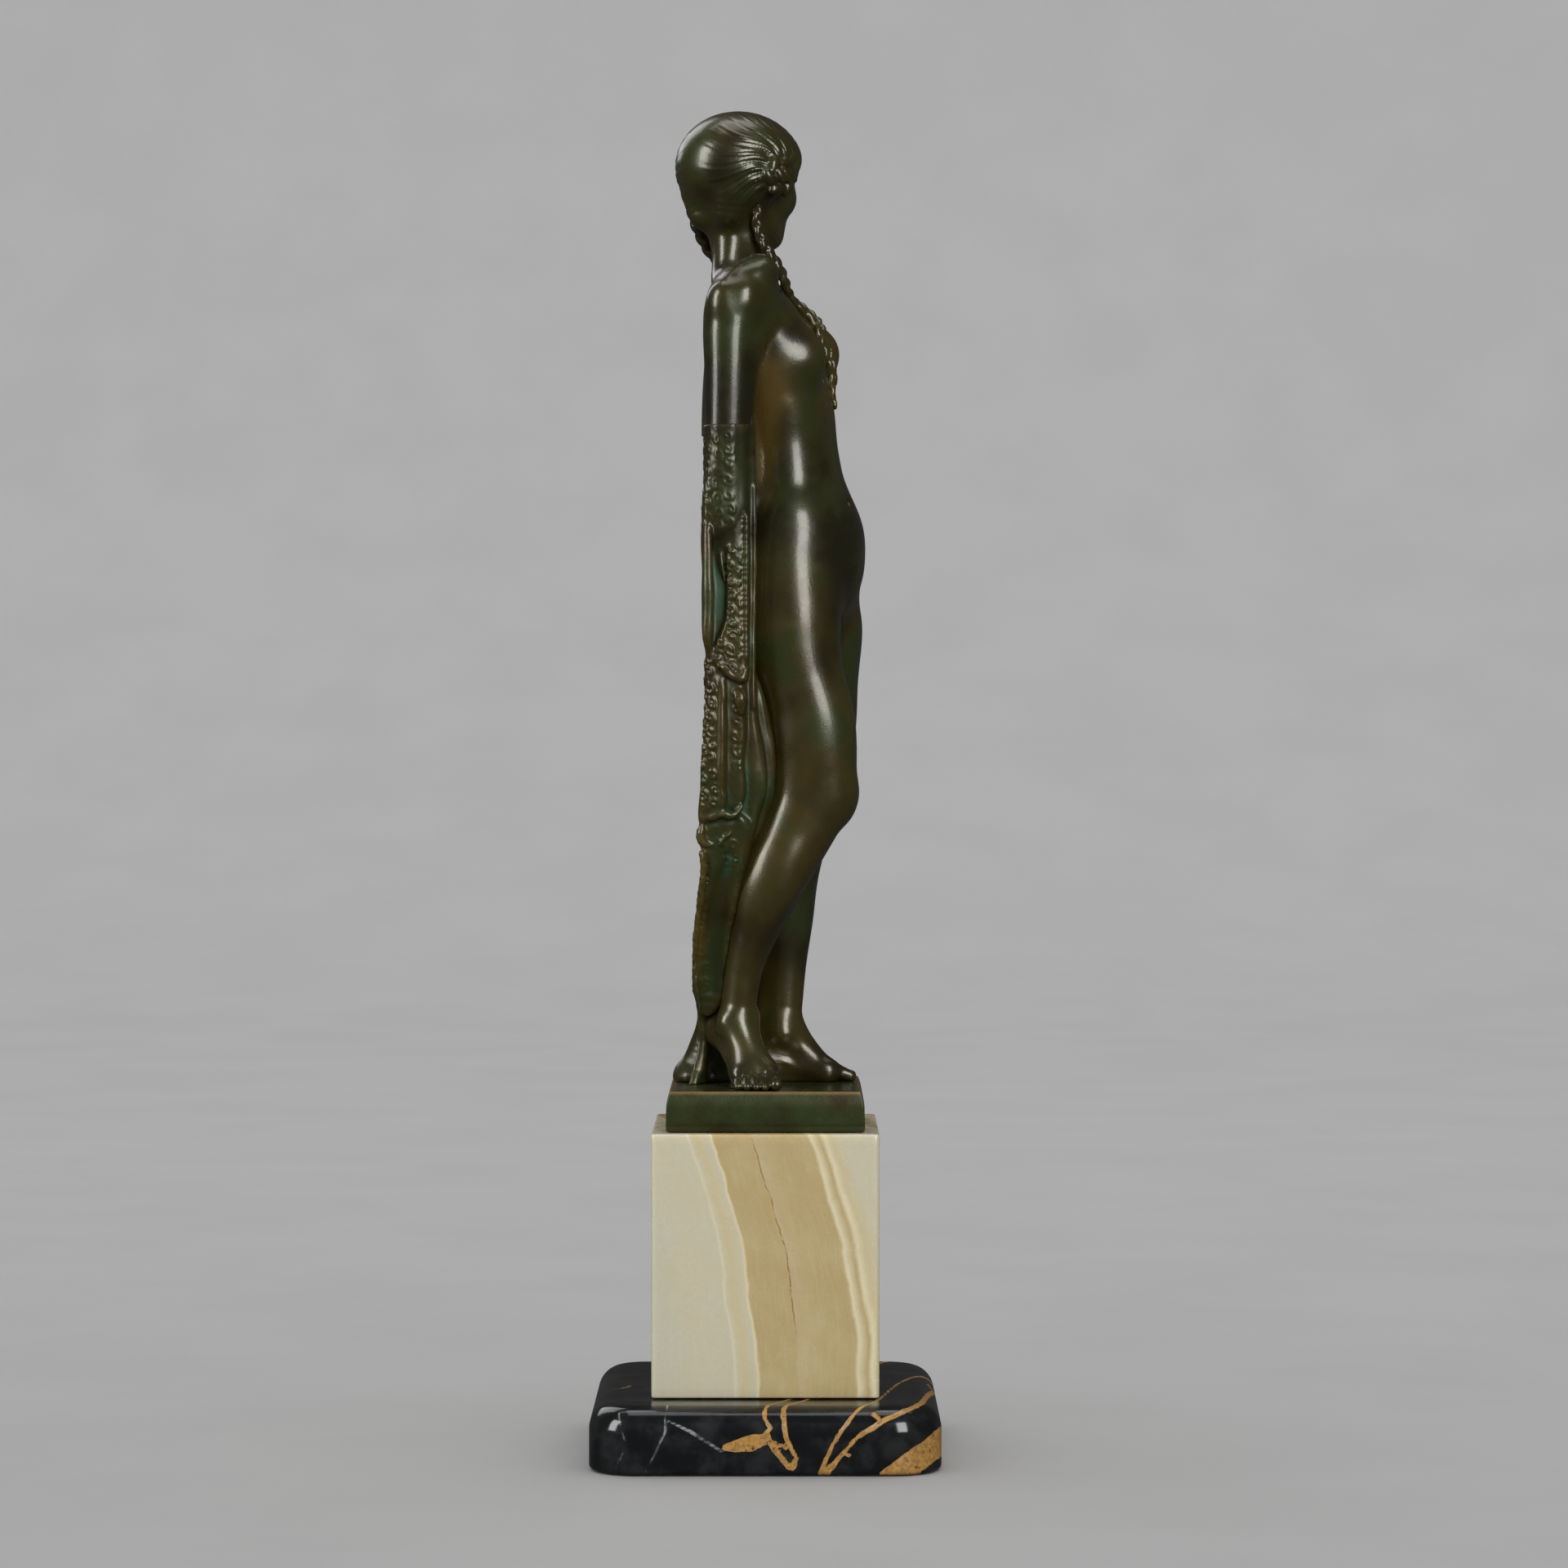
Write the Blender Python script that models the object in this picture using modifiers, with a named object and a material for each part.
"""Bronze statuette of a standing woman holding a shawl behind her, on a bronze plinth, an onyx block and a
marble base, all drawn together by one threaded tie rod.

Metres, +Z up. The origin is the middle of the felt's underside, on the tie rod's axis. The figure's hips face +X.
Every casting, stone and fastener is its own object. Pieces that touch on the real thing keep GAP between them.
"""

import math
from collections import namedtuple

import bmesh
import bpy
from mathutils import Matrix, Vector

# ---- driving dimensions -------------------------------------------------------------------------------------
GAP = 0.0003  # clearance left between neighbouring pieces
FELT_THICKNESS = 0.0010
FELT_SIDE = 0.0780
BASE_SIDE = 0.094
BASE_HEIGHT = 0.0167
BASE_CORNER = 0.0130  # radius of the marble's four corners in plan
BASE_EDGE = 0.0070  # radius of its polished top and bottom edges
BLOCK_SIDE = 0.0610
BLOCK_HEIGHT = 0.0707
BLOCK_EDGE = 0.0006
PLINTH_FOOT = 0.0535  # side of the plinth where it stands on the onyx
PLINTH_TOP = 0.0515  # side of the plinth where the figure stands
PLINTH_HEIGHT = 0.0107
PLINTH_WALL = 0.0028
PLINTH_DECK = 0.0035
BOSS_RADIUS = 0.0065
ROD_RADIUS = 0.0030
ROD_HOLE_RADIUS = 0.0042
ROD_STAND_OUT = 0.0022  # how far the rod runs past the nut
NUT_FLATS = 0.0100
NUT_HEIGHT = 0.0050
WASHER_RADIUS = 0.0110
WASHER_THICKNESS = 0.0015
NUT_RECESS_RADIUS = 0.0125
NUT_RECESS_DEPTH = 0.0100
SCREW_RADIUS = 0.0012
SCREW_HEAD_RADIUS = 0.0023
SCREW_HEAD_HEIGHT = 0.0016
SCREW_BITE = 0.0050  # how far a screw reaches into the bronze above the plinth
PIN_RADIUS = 0.0010
SLOT_WIDTH = 0.0007
PLINTH_EDGE = 0.0005
DECK_OVER_ROD = 0.0025  # bronze left above the end of the rod
SPIGOT_RADIUS = 0.0030  # the peg under the head's neck
SPIGOT_REACH = 0.0070
BRAID_RADIUS = 0.0024
BRAID_TIP_RADIUS = 0.0015
CAVITY_WALL = 0.0048  # from the trunk's rough form in to its core cavity
CAVITY_LOW = 0.1370
CAVITY_HIGH = 0.2000
VOXEL = 0.0010  # grid that melts a casting's rough forms into one skin

# ---- heights, from the floor up -----------------------------------------------------------------------------
BASE_BOTTOM = FELT_THICKNESS + GAP
BLOCK_BOTTOM = BASE_BOTTOM + BASE_HEIGHT + GAP
PLINTH_BOTTOM = BLOCK_BOTTOM + BLOCK_HEIGHT + GAP
GROUND = PLINTH_BOTTOM + PLINTH_HEIGHT + GAP  # the level that the figure stands on
NECK_JOINT = 0.2300  # height of the head joint above the plinth
CLOTH_TOP = 0.1810  # height at which the shawl covers the arms

# A level cut through a limb or the trunk, above the plinth: its height, its middle, its half sizes along the
# way it faces and across, and the way it faces, in degrees from +X.
Cut = namedtuple("Cut", "height x y deep wide facing", defaults=(0.0,))

TRUNK = (
    Cut(0.1290, 0.0100, 0.0000, 0.0080, 0.0140, -20),
    Cut(0.1380, 0.0107, 0.0000, 0.0138, 0.0205, -20),
    Cut(0.1510, 0.0102, 0.0000, 0.0136, 0.0192, -20),
    Cut(0.1620, 0.0090, 0.0000, 0.0124, 0.0166, -19),
    Cut(0.1730, 0.0083, 0.0000, 0.0110, 0.0146, -18),
    Cut(0.1860, 0.0063, 0.0000, 0.0117, 0.0164, -15),
    Cut(0.1990, 0.0028, 0.0000, 0.0122, 0.0184, -13),
    Cut(0.2100, -0.0014, 0.0000, 0.0104, 0.0195, -12),
    Cut(0.2180, -0.0045, 0.0000, 0.0080, 0.0150, -10),
    Cut(0.2240, -0.0062, 0.0000, 0.0066, 0.0085, -8),
)
NECK = (
    Cut(0.2120, -0.0050, 0.0000, 0.0072, 0.0086, 0),
    Cut(0.2220, -0.0063, 0.0000, 0.0067, 0.0070, 10),
    Cut(0.2310, -0.0068, 0.0003, 0.0069, 0.0067, 30),
    Cut(0.2400, -0.0074, 0.0006, 0.0080, 0.0074, 42),
)
RIGHT_LEG = (
    Cut(0.0180, -0.0080, -0.0075, 0.0050, 0.0046, -40),
    Cut(0.0220, -0.0073, -0.0078, 0.0049, 0.0044, -35),
    Cut(0.0310, -0.0057, -0.0085, 0.0050, 0.0048, -30),
    Cut(0.0405, -0.0028, -0.0092, 0.0064, 0.0064, -25),
    Cut(0.0510, 0.0008, -0.0100, 0.0087, 0.0080, -20),
    Cut(0.0604, 0.0045, -0.0107, 0.0107, 0.0088, -15),
    Cut(0.0714, 0.0090, -0.0113, 0.0120, 0.0090, -12),
    Cut(0.0790, 0.0119, -0.0117, 0.0124, 0.0092, -10),
    Cut(0.0867, 0.0122, -0.0119, 0.0119, 0.0094, -10),
    Cut(0.0955, 0.0116, -0.0120, 0.0117, 0.0098, -12),
    Cut(0.1066, 0.0104, -0.0120, 0.0115, 0.0104, -14),
    Cut(0.1200, 0.0086, -0.0115, 0.0112, 0.0108, -16),
    Cut(0.1400, 0.0080, -0.0100, 0.0120, 0.0108, -20),
)
LEFT_LEG = (
    Cut(0.0080, 0.0030, 0.0098, 0.0058, 0.0046, 0),
    Cut(0.0190, 0.0049, 0.0098, 0.0053, 0.0045, 0),
    Cut(0.0323, 0.0053, 0.0100, 0.0062, 0.0052, 0),
    Cut(0.0435, 0.0058, 0.0103, 0.0076, 0.0070, 0),
    Cut(0.0560, 0.0063, 0.0106, 0.0086, 0.0084, 0),
    Cut(0.0660, 0.0085, 0.0108, 0.0085, 0.0082, -4),
    Cut(0.0770, 0.0112, 0.0109, 0.0084, 0.0083, -6),
    Cut(0.0870, 0.0127, 0.0109, 0.0090, 0.0090, -8),
    Cut(0.1000, 0.0140, 0.0108, 0.0100, 0.0100, -10),
    Cut(0.1130, 0.0148, 0.0104, 0.0108, 0.0107, -14),
    Cut(0.1270, 0.0148, 0.0100, 0.0115, 0.0112, -18),
    Cut(0.1400, 0.0130, 0.0095, 0.0118, 0.0108, -20),
)
RIGHT_ARM = (
    Cut(0.1500, -0.0118, -0.0222, 0.0046, 0.0040),
    Cut(0.1600, -0.0115, -0.0224, 0.0052, 0.0046),
    Cut(0.1730, -0.0107, -0.0226, 0.0061, 0.0054),
    Cut(0.1840, -0.0104, -0.0226, 0.0069, 0.0060),
    Cut(0.1950, -0.0100, -0.0224, 0.0079, 0.0066),
    Cut(0.2040, -0.0092, -0.0220, 0.0088, 0.0072),
    Cut(0.2125, -0.0076, -0.0214, 0.0098, 0.0076),
    Cut(0.2190, -0.0058, -0.0200, 0.0094, 0.0070),
    Cut(0.2235, -0.0034, -0.0180, 0.0060, 0.0050),
)
LEFT_ARM = (
    Cut(0.1500, -0.0122, 0.0200, 0.0046, 0.0040),
    Cut(0.1600, -0.0125, 0.0208, 0.0052, 0.0046),
    Cut(0.1730, -0.0122, 0.0216, 0.0061, 0.0054),
    Cut(0.1840, -0.0118, 0.0222, 0.0068, 0.0060),
    Cut(0.1950, -0.0104, 0.0226, 0.0076, 0.0066),
    Cut(0.2040, -0.0084, 0.0226, 0.0082, 0.0072),
    Cut(0.2125, -0.0056, 0.0220, 0.0086, 0.0074),
    Cut(0.2190, -0.0036, 0.0206, 0.0080, 0.0066),
    Cut(0.2235, -0.0024, 0.0186, 0.0052, 0.0046),
)
# The shawl over each arm and the cascade of folds below it.
RIGHT_SLEEVE = (
    Cut(0.0700, -0.0122, -0.0190, 0.0036, 0.0022),
    Cut(0.0850, -0.0118, -0.0205, 0.0054, 0.0026),
    Cut(0.1050, -0.0114, -0.0212, 0.0058, 0.0030),
    Cut(0.1250, -0.0114, -0.0218, 0.0058, 0.0034),
    Cut(0.1450, -0.0114, -0.0222, 0.0058, 0.0042),
    Cut(0.1600, -0.0112, -0.0226, 0.0060, 0.0052),
    Cut(0.1730, -0.0107, -0.0228, 0.0067, 0.0060),
    Cut(CLOTH_TOP, -0.0105, -0.0228, 0.0074, 0.0066),
)
LEFT_SLEEVE = tuple(c._replace(x=c.x - 0.0012, y=-c.y - 0.0006) for c in RIGHT_SLEEVE)
# The hanging panel: its middle line, half width across, and how far its side edges curl back, by height.
Panel = namedtuple("Panel", "height x y half_width curl")
SHAWL = (
    Panel(0.0003, -0.0172, 0.0090, 0.0125, 0.0030),
    Panel(0.0040, -0.0160, 0.0082, 0.0100, 0.0024),
    Panel(0.0120, -0.0146, 0.0070, 0.0080, 0.0022),
    Panel(0.0240, -0.0138, 0.0055, 0.0092, 0.0030),
    Panel(0.0450, -0.0085, 0.0035, 0.0150, 0.0060),
    Panel(0.0700, -0.0034, 0.0012, 0.0198, 0.0090),
    Panel(0.1000, -0.0012, 0.0000, 0.0222, 0.0106),
    Panel(0.1400, -0.0062, 0.0000, 0.0225, 0.0058),
    Panel(0.1720, -0.0056, 0.0000, 0.0225, 0.0064),
)
SHAWL_THICKNESS = 0.0022
SHAWL_SAG = 0.0220  # how far the shawl's top edge hangs down between the arms

# The plaits, from under each ear to the tips between the breasts.
RIGHT_BRAID = (
    (-0.0032, -0.0095, 0.2365),
    (-0.0006, -0.0100, 0.2290),
    (0.0022, -0.0090, 0.2210),
    (0.0070, -0.0068, 0.2110),
    (0.0118, -0.0046, 0.2030),
    (0.0158, -0.0031, 0.1950),
    (0.0178, -0.0027, 0.1875),
    (0.0184, -0.0027, 0.1835),
)
LEFT_BRAID = (
    (-0.0168, 0.0098, 0.2360),
    (-0.0160, 0.0122, 0.2295),
    (-0.0090, 0.0145, 0.2245),
    (-0.0006, 0.0130, 0.2190),
    (0.0054, 0.0090, 0.2115),
    (0.0108, 0.0052, 0.2040),
    (0.0154, 0.0028, 0.1960),
    (0.0178, 0.0020, 0.1885),
    (0.0184, 0.0018, 0.1840),
)
RIGHT_SHOULDER = ((-0.0040, -0.0185, 0.2165), (0.0078, 0.0070, 0.0085))
LEFT_SHOULDER = ((-0.0022, 0.0190, 0.2155), (0.0072, 0.0068, 0.0080))
# Each pin's two ends above the plinth, and the two castings that it goes into.
PINS = {
    "right_shoulder_pin": ((-0.0040, -0.0110, 0.2120), (-0.0070, -0.0225, 0.2120), ("body", "right_arm")),
    "left_shoulder_pin": ((-0.0040, 0.0110, 0.2120), (-0.0060, 0.0235, 0.2120), ("body", "left_arm")),
    "right_elbow_pin": ((-0.0106, -0.0227, 0.1750), (-0.0103, -0.0226, 0.1870), ("shawl", "right_arm")),
    "left_elbow_pin": ((-0.0120, 0.0219, 0.1750), (-0.0119, 0.0222, 0.1870), ("shawl", "left_arm")),
    "shawl_pin_upper": ((-0.0062, 0.0060, 0.1350), (0.0040, 0.0060, 0.1350), ("shawl", "body")),
    "shawl_pin_lower": ((-0.0048, -0.0110, 0.0900), (0.0060, -0.0110, 0.0900), ("shawl", "body")),
}
RIGHT_FOOT_SCREW = (-0.0036, -0.0168)
LEFT_FOOT_SCREW = (0.0080, 0.0098)
SHAWL_FOOT = (-0.0172, 0.0088, 0.0020)  # the gathered hem that carries the shawl's screw
HEAD_MIDDLE = Vector((-0.0070, 0.0, 0.2496))
HEAD_FACING = 42  # degrees from +X, away from the shoulders
HEAD_TILT = 4  # degrees, chin down


# ---- helpers ------------------------------------------------------------------------------------------------
def fresh_scene():
    for old in list(bpy.data.objects):
        bpy.data.objects.remove(old)
    for name in ("statuette", "cutters"):
        bpy.context.scene.collection.children.link(bpy.data.collections.new(name))


def material(name, colour, roughness, metallic):
    made = bpy.data.materials.new(name)
    made.use_nodes = True
    shader = made.node_tree.nodes["Principled BSDF"]
    shader.inputs["Base Color"].default_value = (*colour, 1.0)
    shader.inputs["Roughness"].default_value = roughness
    shader.inputs["Metallic"].default_value = metallic
    return made


def adopt(obj, name, look=None, collection="statuette"):
    """Names an object, gives it its material and files it in one collection only."""
    obj.name = obj.data.name = name
    for holder in list(obj.users_collection):
        holder.objects.unlink(obj)
    bpy.data.collections[collection].objects.link(obj)
    if look:
        obj.data.materials.clear()
        obj.data.materials.append(look)
    return obj


def as_cutter(obj, name):
    adopt(obj, name, collection="cutters")
    obj.hide_render = True
    obj.display_type = "WIRE"
    return obj


def at(height):
    """A height above the plinth as a height above the floor."""
    return GROUND + height


def cylinder(radius, start, end, sides=32):
    """A cylinder between two points. Its scale is applied."""
    start, end = Vector(start), Vector(end)
    bpy.ops.mesh.primitive_cylinder_add(vertices=sides, radius=radius, depth=(end - start).length)
    rod = bpy.context.object
    turn = (end - start).to_track_quat("Z", "Y").to_matrix().to_4x4()
    rod.data.transform(Matrix.Translation((start + end) / 2) @ turn)
    return rod


def slab(side_x, side_y, bottom, top, corner=0.0, segments=6):
    """A box standing on a level, its upright edges rounded."""
    bpy.ops.mesh.primitive_cube_add(size=1.0)
    block = bpy.context.object
    block.data.transform(Matrix.Diagonal((side_x, side_y, top - bottom, 1.0)))
    block.data.transform(Matrix.Translation((0.0, 0.0, (top + bottom) / 2)))
    if corner:
        mesh = bmesh.new()
        mesh.from_mesh(block.data)
        upright = [e for e in mesh.edges if abs(e.verts[0].co.z - e.verts[1].co.z) > 1e-6]
        bmesh.ops.bevel(mesh, geom=upright, offset=corner, segments=segments, affect="EDGES", profile=0.5)
        mesh.to_mesh(block.data)
        mesh.free()
    return block


def cut(obj, cutter, name="cut"):
    boolean = obj.modifiers.new(name, "BOOLEAN")
    boolean.operation = "DIFFERENCE"
    boolean.object = cutter
    return boolean


def round_edges(obj, width, segments, angle=30):
    bevel = obj.modifiers.new("rounded edges", "BEVEL")
    bevel.width = width
    bevel.segments = segments
    bevel.angle_limit = math.radians(angle)
    return bevel


def join(pieces):
    """One object from several, their meshes side by side until a Remesh melts them together."""
    bpy.ops.object.select_all(action="DESELECT")
    for piece in pieces:
        piece.select_set(True)
    bpy.context.view_layer.objects.active = pieces[0]
    if len(pieces) > 1:
        bpy.ops.object.join()
    return pieces[0]


def melt(obj, keep, smoothing=6, voxel=VOXEL):
    """Melts joined forms into one skin, smooths it, and thins it to a share of its faces."""
    remesh = obj.modifiers.new("melt", "REMESH")
    remesh.mode = "VOXEL"
    remesh.voxel_size = voxel
    smooth = obj.modifiers.new("smooth", "SMOOTH")
    smooth.factor = 0.5
    smooth.iterations = smoothing
    thin = obj.modifiers.new("thin", "DECIMATE")
    thin.ratio = keep
    return obj


def settled(obj):
    """The object with its modifiers applied, as a plain mesh."""
    graph = bpy.context.evaluated_depsgraph_get()
    graph.update()
    plain = bpy.data.meshes.new_from_object(obj.evaluated_get(graph))
    obj.modifiers.clear()
    obj.data = plain
    return obj


def swollen(obj, name, by=GAP):
    """A cutter that is the object grown by a clearance, so that a neighbour cut by it stays clear."""
    copy = bpy.data.objects.new(name, obj.data.copy())
    bpy.context.scene.collection.objects.link(copy)
    as_cutter(copy, name)
    grow = copy.modifiers.new("clearance", "DISPLACE")
    grow.mid_level = 0.0
    grow.strength = by
    return copy


# ---- rough forms of the figure ------------------------------------------------------------------------------
def between(cuts, height):
    """The cut at a height, on a smooth curve through the given cuts."""
    cuts = sorted(cuts, key=lambda c: c.height)
    height = min(max(height, cuts[0].height), cuts[-1].height)
    i = max(k for k in range(len(cuts) - 1) if cuts[k].height <= height)
    a, b = cuts[i], cuts[i + 1]
    before, after = cuts[max(i - 1, 0)], cuts[min(i + 2, len(cuts) - 1)]
    span = b.height - a.height
    t = (height - a.height) / span
    slope_a = [(q - p) / (b.height - before.height) * span for p, q in zip(before, b)]
    slope_b = [(q - p) / (after.height - a.height) * span for p, q in zip(a, after)]
    curve = [
        (2 * t**3 - 3 * t**2 + 1) * p + (t**3 - 2 * t**2 + t) * m + (3 * t**2 - 2 * t**3) * q + (t**3 - t**2) * n
        for p, q, m, n in zip(a, b, slope_a, slope_b)
    ]
    return type(a)(height, *curve[1:])


def column(cuts, grow=0.0, rings=30, sides=20):
    """A loft through level elliptical cuts, closed by flat ends."""
    mesh = bmesh.new()
    low, high = min(c.height for c in cuts), max(c.height for c in cuts)
    loops = []
    for k in range(rings + 1):
        c = between(cuts, low + (high - low) * k / rings)
        facing = Matrix.Rotation(math.radians(c.facing), 3, "Z")
        loop = []
        for s in range(sides):
            angle = 2 * math.pi * s / sides
            reach = Vector(((c.deep + grow) * math.cos(angle), (c.wide + grow) * math.sin(angle), 0.0))
            loop.append(mesh.verts.new(Vector((c.x, c.y, at(c.height))) + facing @ reach))
        loops.append(loop)
    for lower, upper in zip(loops, loops[1:]):
        for s in range(sides):
            mesh.faces.new((lower[s], lower[(s + 1) % sides], upper[(s + 1) % sides], upper[s]))
    mesh.faces.new(list(reversed(loops[0])))
    mesh.faces.new(loops[-1])
    data = bpy.data.meshes.new("column")
    mesh.to_mesh(data)
    mesh.free()
    obj = bpy.data.objects.new("column", data)
    bpy.context.scene.collection.objects.link(obj)
    return obj


def egg(middle, radii, facing=0.0, tilt=0.0):
    """An ellipsoid. Its middle is given above the plinth."""
    bpy.ops.mesh.primitive_uv_sphere_add(segments=20, ring_count=12, radius=1.0)
    ball = bpy.context.object
    turn = Matrix.Rotation(math.radians(facing), 4, "Z") @ Matrix.Rotation(math.radians(tilt), 4, "Y")
    place = Matrix.Translation((middle[0], middle[1], at(middle[2])))
    ball.data.transform(place @ turn @ Matrix.Diagonal((*radii, 1.0)))
    return ball


def bar(start, end, radius_start, radius_end):
    """A finger of bronze between two points, round at both ends."""
    start, end = Vector(start), Vector(end)
    steps = 5
    balls = []
    for k in range(steps + 1):
        share = k / steps
        radius = radius_start + (radius_end - radius_start) * share
        balls.append(egg(start.lerp(end, share), (radius, radius, radius)))
    return join(balls)


def foot(heel, ball_inner, ball_outer, ankle, toes_inner, toes_outer):
    """A foot from its heel, the two sides of its ball, the ankle above it and the first and last toe tips."""
    inner, outer = Vector(ball_inner), Vector(ball_outer)
    forms = [
        bar(heel, inner, 0.0044, 0.0036),
        bar(heel, outer, 0.0044, 0.0028),
        bar(heel, ankle, 0.0044, 0.0046),
        bar(ankle, (inner * 2 + outer) / 3, 0.0046, 0.0034),
    ]
    for k in range(5):
        share = k / 4
        root = inner.lerp(outer, share)
        tip = Vector(toes_inner).lerp(Vector(toes_outer), share)
        radius = 0.0023 - 0.0009 * math.sqrt(share)
        tip.z = radius
        forms.append(bar(root, tip, radius + 0.0004, radius))
    return forms


# ---- the castings -------------------------------------------------------------------------------------------
def body_forms():
    """Trunk, neck stump, legs and feet."""
    forms = [
        column(TRUNK),
        column(NECK),
        column(RIGHT_LEG),
        column(LEFT_LEG),
        egg((0.0086, -0.0088, 0.1990), (0.0076, 0.0068, 0.0076), facing=-13, tilt=-25),  # right breast
        egg((0.0124, 0.0088, 0.1994), (0.0080, 0.0068, 0.0076), facing=-13, tilt=-25),  # left breast
        egg((0.0045, -0.0088, 0.1370), (0.0095, 0.0095, 0.0120), facing=-20),  # right buttock
        egg((0.0075, 0.0090, 0.1370), (0.0095, 0.0095, 0.0120), facing=-20),  # left buttock
        egg((0.0130, -0.0010, 0.1470), (0.0118, 0.0150, 0.0190), facing=-20),  # belly
        egg((0.0172, -0.0125, 0.0785), (0.0062, 0.0060, 0.0085)),  # right knee
        egg((-0.0030, -0.0160, 0.2160), (0.0070, 0.0070, 0.0080)),  # right shoulder
        egg((-0.0020, 0.0165, 0.2155), (0.0070, 0.0070, 0.0078)),  # left shoulder
    ]
    forms += foot(
        heel=(-0.0118, 0.0015, 0.0145),
        ball_inner=(0.0008, -0.0165, 0.0044),
        ball_outer=(-0.0080, -0.0175, 0.0034),
        ankle=(-0.0074, -0.0072, 0.0190),
        toes_inner=(0.0030, -0.0232, 0.0),
        toes_outer=(-0.0070, -0.0228, 0.0),
    )
    forms += foot(
        heel=(-0.0015, 0.0096, 0.0046),
        ball_inner=(0.0165, 0.0062, 0.0038),
        ball_outer=(0.0140, 0.0132, 0.0030),
        ankle=(0.0045, 0.0098, 0.0160),
        toes_inner=(0.0250, 0.0070, 0.0),
        toes_outer=(0.0198, 0.0146, 0.0),
    )
    return forms


def head_forms():
    """Cranium under its cap of hair, face, neck stump and the coiled plait over each ear."""
    def spot(forward, left, up):
        turn = Matrix.Rotation(math.radians(HEAD_FACING), 3, "Z") @ Matrix.Rotation(math.radians(HEAD_TILT), 3, "Y")
        return HEAD_MIDDLE + turn @ Vector((forward, left, up))

    forms = [
        egg(spot(-0.0005, 0.0, 0.0005), (0.0172, 0.0150, 0.0150), HEAD_FACING, HEAD_TILT),
        egg(spot(0.0055, 0.0, -0.0075), (0.0092, 0.0086, 0.0125), HEAD_FACING, HEAD_TILT),
        egg(spot(0.0098, 0.0, -0.0178), (0.0036, 0.0042, 0.0036), HEAD_FACING, HEAD_TILT),
        bar(spot(0.0138, 0.0, -0.0030), spot(0.0160, 0.0, -0.0085), 0.0010, 0.0015),
        column(NECK),
    ]
    for side in (-1, 1):
        forms.append(egg(spot(0.0010, side * 0.0135, -0.0050), (0.0062, 0.0040, 0.0062), HEAD_FACING, HEAD_TILT))
    return forms


def neck_plane(gap_below):
    """A tall slab whose underside is the head joint."""
    bottom = at(NECK_JOINT) - gap_below
    return slab(0.080, 0.080, bottom, bottom + 0.080)


def neck_point(above_joint):
    c = between(NECK, NECK_JOINT)
    return Vector((c.x, c.y, at(NECK_JOINT + above_joint)))


def make_head(bronze, braids):
    """The head, with the spigot under its neck that enters the hollow trunk."""
    head = settled(melt(join(head_forms()), keep=0.09, smoothing=4))
    below = slab(0.080, 0.080, at(NECK_JOINT) - 0.050, at(NECK_JOINT))
    cut(head, as_cutter(below, "below_head_joint"))
    spigot = as_cutter(cylinder(SPIGOT_RADIUS, neck_point(-SPIGOT_REACH), neck_point(0.0050), 20), "head_spigot")
    cut(head, spigot).operation = "UNION"
    for braid in braids:
        cut(head, swollen(braid, braid.name + "_groove_in_head"))
    return adopt(head, "head_casting", bronze)


def make_arm(name, cuts, shoulder, braids, bronze):
    """A bare arm from the shoulder to the edge of the shawl."""
    arm = settled(melt(join([column(cuts), egg(*shoulder)]), keep=0.09, smoothing=3))
    cloth = slab(0.200, 0.200, at(CLOTH_TOP) - 0.100, at(CLOTH_TOP) + GAP)
    cut(arm, as_cutter(cloth, name + "_cloth_line"))
    for braid in braids:
        cut(arm, swollen(braid, f"{braid.name}_groove_in_{name}"))
    return adopt(settled(arm), name, bronze)


def make_body(bronze, body, arms, braids):
    """The trunk and legs: parted at the neck, seated for its neighbours and hollowed."""
    cut(body, as_cutter(neck_plane(GAP), "neck_joint"))
    for piece in (*arms, *braids):
        cut(body, swollen(piece, piece.name + "_seat_in_body"))
    for part in torso_core():
        cut(body, part)
    return adopt(settled(body), "body_casting", bronze)


def torso_core():
    """The core cavity of the trunk and the throat through which it opens at the neck."""
    inside = [c for c in TRUNK if CAVITY_LOW <= c.height <= CAVITY_HIGH]
    cavity = column(inside, grow=-CAVITY_WALL, rings=12, sides=14)
    top = inside[-1]
    low_end = Vector((top.x, top.y, at(top.height - 0.0100)))
    throat = cylinder(SPIGOT_RADIUS + GAP, low_end, neck_point(-0.0020), 20)
    mouth = cylinder(SPIGOT_RADIUS + GAP, neck_point(-SPIGOT_REACH - 0.0020), neck_point(0.0050), 20)
    return [as_cutter(obj, name) for obj, name in ((cavity, "core"), (throat, "throat"), (mouth, "mouth"))]


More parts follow.
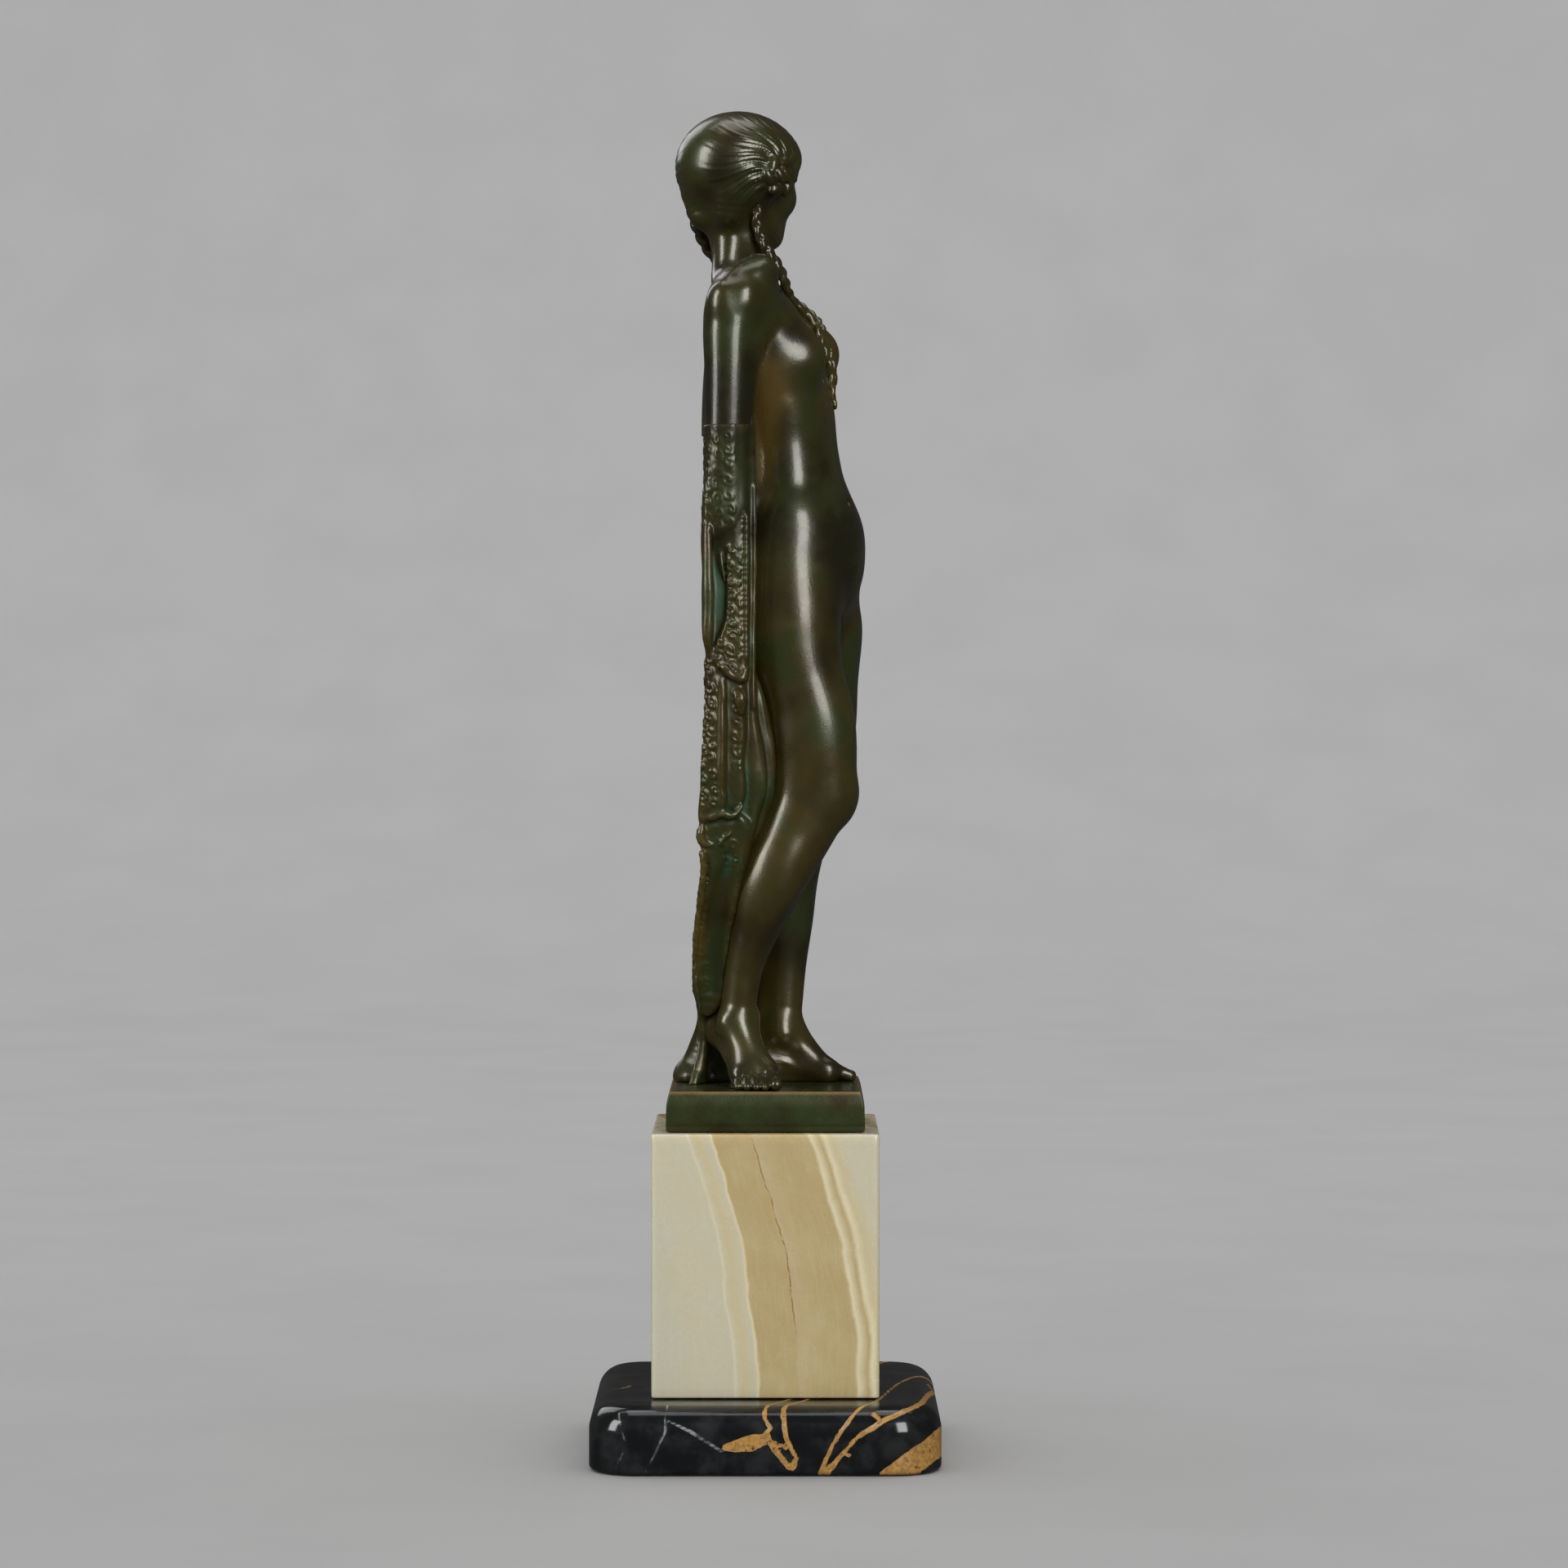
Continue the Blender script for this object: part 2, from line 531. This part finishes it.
def make_braid(name, path, bronze):
    """A plait as a tube that thins towards its tip."""
    curve = bpy.data.curves.new(name, "CURVE")
    curve.dimensions = "3D"
    curve.bevel_depth = 1.0
    curve.bevel_resolution = 2
    curve.resolution_u = 3
    curve.use_fill_caps = True
    line = curve.splines.new("NURBS")
    line.points.add(len(path) - 1)
    line.order_u = 3
    line.use_endpoint_u = True
    for k, (x, y, height) in enumerate(path):
        share = k / (len(path) - 1)
        line.points[k].co = (x, y, at(height), 1.0)
        line.points[k].radius = BRAID_RADIUS + (BRAID_TIP_RADIUS - BRAID_RADIUS) * share
    tube = bpy.data.objects.new(name, curve)
    bpy.context.scene.collection.objects.link(tube)
    solid = bpy.data.objects.new(name, bpy.data.meshes.new_from_object(tube))
    bpy.data.objects.remove(tube)
    bpy.context.scene.collection.objects.link(solid)
    mesh = bmesh.new()
    mesh.from_mesh(solid.data)
    bmesh.ops.remove_doubles(mesh, verts=mesh.verts, dist=1e-6)
    mesh.to_mesh(solid.data)
    mesh.free()
    return adopt(solid, name, bronze)


def shawl_point(across, down):
    """A point of the shawl's middle surface: across runs from -1 at her right to 1, down from 0 to 1."""
    top = SHAWL[-1].height - SHAWL_SAG * (1 - across**2)
    height = top + (SHAWL[0].height + SHAWL_THICKNESS - top) * down
    p = between(SHAWL, height)
    return Vector((p.x - p.curl * across**2, p.y + p.half_width * across, at(height)))


def make_shawl(bronze, clearances):
    """The shawl with the cloth-wrapped forearms, cut clear of the figure."""
    bpy.ops.mesh.primitive_grid_add(x_subdivisions=22, y_subdivisions=40, size=2.0)
    sheet = bpy.context.object
    for vertex in sheet.data.vertices:
        vertex.co = shawl_point(vertex.co.x, (1 - vertex.co.y) / 2)
    thicken = sheet.modifiers.new("cloth", "SOLIDIFY")
    thicken.thickness = SHAWL_THICKNESS
    thicken.offset = 0.0
    settled(sheet)
    gathered = egg(SHAWL_FOOT, (0.0062, 0.0070, 0.0085))
    shawl = settled(melt(join([sheet, column(RIGHT_SLEEVE), column(LEFT_SLEEVE), gathered]), keep=0.05, smoothing=2))
    for clearance in clearances:
        cut(shawl, clearance)
    cut(shawl, as_cutter(slab(0.200, 0.200, at(0.0) - 0.050, at(0.0)), "below_shawl"))
    return adopt(settled(shawl), "shawl_casting", bronze)


# ---- pins and screws ----------------------------------------------------------------------------------------
def turned(name, profile, place, look, steps=24):
    """A solid of revolution about +Z through a place, from a profile of (radius, height) listed downwards."""
    mesh = bpy.data.meshes.new(name)
    points = [(radius, 0.0, height) for radius, height in profile]
    mesh.from_pydata(points, [(k, k + 1) for k in range(len(points) - 1)], [])
    obj = bpy.data.objects.new(name, mesh)
    bpy.context.scene.collection.objects.link(obj)
    obj.location = place
    screw = obj.modifiers.new("turn", "SCREW")
    screw.steps = screw.render_steps = steps
    screw.use_merge_vertices = True
    screw.merge_threshold = 0.00005
    return adopt(obj, name, look)


def make_pin(name, start, end, owners, steel):
    """A round pin between two points above the plinth, and the blind hole for it in each of its owners."""
    start = Vector((start[0], start[1], at(start[2])))
    end = Vector((end[0], end[1], at(end[2])))
    pin = adopt(cylinder(PIN_RADIUS, start, end, sides=16), name, steel)
    along = (end - start).normalized() * GAP
    hole = as_cutter(cylinder(PIN_RADIUS + GAP, start - along, end + along, sides=16), name + "_hole")
    for owner in owners:
        cut(owner, hole, name)
    return pin


def make_screw(name, place, owners, steel):
    """A slotted screw that rises through the plinth's deck into a casting that stands on it."""
    seat = PLINTH_BOTTOM + PLINTH_HEIGHT - PLINTH_DECK - GAP
    profile = (
        (0.0, GROUND + SCREW_BITE),
        (SCREW_RADIUS, GROUND + SCREW_BITE),
        (SCREW_RADIUS, seat),
        (SCREW_HEAD_RADIUS, seat),
        (SCREW_HEAD_RADIUS, seat - SCREW_HEAD_HEIGHT),
        (0.0, seat - SCREW_HEAD_HEIGHT),
    )
    screw = turned(name, profile, (place[0], place[1], 0.0), steel)
    bpy.ops.mesh.primitive_cube_add(size=1.0)
    slot = bpy.context.object
    slot.data.transform(Matrix.Diagonal((3 * SCREW_HEAD_RADIUS, SLOT_WIDTH, SCREW_HEAD_HEIGHT, 1.0)))
    slot.location = (place[0], place[1], seat - SCREW_HEAD_HEIGHT)
    cut(screw, as_cutter(slot, name + "_slot"))
    low = Vector((place[0], place[1], seat - 2 * SCREW_HEAD_HEIGHT))
    high = Vector((place[0], place[1], GROUND + SCREW_BITE + GAP))
    hole = as_cutter(cylinder(SCREW_RADIUS + GAP, low, high, sides=20), name + "_hole")
    for owner in owners:
        cut(owner, hole, name)
    return screw


# ---- plinth, stones and the rod that draws them together --------------------------------------------------
def make_plinth(bronze):
    """A hollow bronze cap, narrower at its top, with a boss under its deck for the tie rod."""
    plinth = slab(PLINTH_FOOT, PLINTH_FOOT, PLINTH_BOTTOM, PLINTH_BOTTOM + PLINTH_HEIGHT)
    taper(plinth, PLINTH_TOP / PLINTH_FOOT)
    inner_side = PLINTH_TOP - 2 * PLINTH_WALL
    ceiling = PLINTH_BOTTOM + PLINTH_HEIGHT - PLINTH_DECK
    hollow = slab(inner_side, inner_side, PLINTH_BOTTOM - 0.0100, ceiling, corner=0.0030, segments=3)
    boss = cylinder(BOSS_RADIUS, (0.0, 0.0, PLINTH_BOTTOM - 0.0200), (0.0, 0.0, ceiling + 0.0100), 40)
    cut(hollow, as_cutter(boss, "boss"))
    round_edges(plinth, PLINTH_EDGE, 2)
    cut(plinth, as_cutter(hollow, "plinth_hollow"))
    bore = cylinder(ROD_RADIUS + GAP, (0.0, 0.0, PLINTH_BOTTOM - 0.0100), (0.0, 0.0, rod_top() + GAP), 40)
    cut(plinth, as_cutter(bore, "rod_bore"))
    return adopt(plinth, "bronze_plinth", bronze)


def taper(block, share):
    """Draws a block's top in towards its axis."""
    top = max(v.co.z for v in block.data.vertices)
    for vertex in block.data.vertices:
        if vertex.co.z > top - 1e-6:
            vertex.co.x *= share
            vertex.co.y *= share


def rod_top():
    return PLINTH_BOTTOM + PLINTH_HEIGHT - DECK_OVER_ROD


def make_stone(name, side, bottom, height, corner, edge, segments, look):
    """A square polished stone with a hole up its middle for the tie rod."""
    stone = slab(side, side, bottom, bottom + height, corner)
    round_edges(stone, edge, segments)
    hole = cylinder(ROD_HOLE_RADIUS, (0.0, 0.0, bottom - 0.0100), (0.0, 0.0, bottom + height + 0.0100), 40)
    cut(stone, as_cutter(hole, name + "_hole"))
    return adopt(stone, name, look)


def make_rod_and_nut(steel):
    """The tie rod, and the washer and nut that pull on it inside the marble's recess."""
    recess_top = BASE_BOTTOM + NUT_RECESS_DEPTH
    washer_bottom = recess_top - GAP - WASHER_THICKNESS
    nut_bottom = washer_bottom - GAP - NUT_HEIGHT
    rod = cylinder(ROD_RADIUS, (0.0, 0.0, nut_bottom - ROD_STAND_OUT), (0.0, 0.0, rod_top()), 40)
    adopt(rod, "tie_rod", steel)
    through = cylinder(ROD_RADIUS + GAP, (0.0, 0.0, 0.0), (0.0, 0.0, recess_top), 40)
    as_cutter(through, "rod_clearance")
    washer = cylinder(WASHER_RADIUS, (0.0, 0.0, washer_bottom), (0.0, 0.0, washer_bottom + WASHER_THICKNESS), 40)
    cut(adopt(washer, "rod_washer", steel), through)
    corner = NUT_FLATS / math.sqrt(3)
    nut = cylinder(corner, (0.0, 0.0, nut_bottom), (0.0, 0.0, nut_bottom + NUT_HEIGHT), 6)
    cut(adopt(nut, "rod_nut", steel), through)


def make_supports(bronze, marble, onyx, felt, steel):
    base = make_stone("marble_base", BASE_SIDE, BASE_BOTTOM, BASE_HEIGHT, BASE_CORNER, BASE_EDGE, 5, marble)
    recess = cylinder(
        NUT_RECESS_RADIUS,
        (0.0, 0.0, BASE_BOTTOM - 0.0100),
        (0.0, 0.0, BASE_BOTTOM + NUT_RECESS_DEPTH),
        40,
    )
    cut(base, as_cutter(recess, "nut_recess"))
    make_stone("onyx_block", BLOCK_SIDE, BLOCK_BOTTOM, BLOCK_HEIGHT, 0.0, BLOCK_EDGE, 2, onyx)
    make_rod_and_nut(steel)
    adopt(slab(FELT_SIDE, FELT_SIDE, 0.0, FELT_THICKNESS, corner=BASE_CORNER - 0.0040, segments=4), "felt_pad", felt)
    return make_plinth(bronze)


def main():
    fresh_scene()
    bronze = material("patinated_bronze", (0.075, 0.062, 0.030), 0.32, 0.85)
    marble = material("black_marble", (0.012, 0.011, 0.010), 0.08, 0.0)
    onyx = material("cream_onyx", (0.66, 0.60, 0.44), 0.12, 0.0)
    felt = material("black_felt", (0.020, 0.020, 0.020), 0.95, 0.0)
    steel = material("plated_steel", (0.52, 0.52, 0.50), 0.38, 1.0)
    plinth = make_supports(bronze, marble, onyx, felt, steel)
    braids = [make_braid("right_braid", RIGHT_BRAID, bronze), make_braid("left_braid", LEFT_BRAID, bronze)]
    right_arm = make_arm("right_arm_casting", RIGHT_ARM, RIGHT_SHOULDER, braids, bronze)
    left_arm = make_arm("left_arm_casting", LEFT_ARM, LEFT_SHOULDER, braids, bronze)
    solid_body = settled(melt(join(body_forms()), keep=0.045))
    clearances = [swollen(piece, piece.name + "_clearance") for piece in (solid_body, right_arm, left_arm)]
    body = make_body(bronze, solid_body, [right_arm, left_arm], braids)
    make_head(bronze, braids)
    shawl = make_shawl(bronze, clearances)
    owners = {"right_arm": right_arm, "left_arm": left_arm, "body": body, "shawl": shawl}
    for name, (start, end, held) in PINS.items():
        make_pin(name, start, end, [owners[piece] for piece in held], steel)
    make_screw("right_foot_screw", RIGHT_FOOT_SCREW, (plinth, body), steel)
    make_screw("left_foot_screw", LEFT_FOOT_SCREW, (plinth, body), steel)
    make_screw("shawl_screw", SHAWL_FOOT, (plinth, shawl), steel)


main()
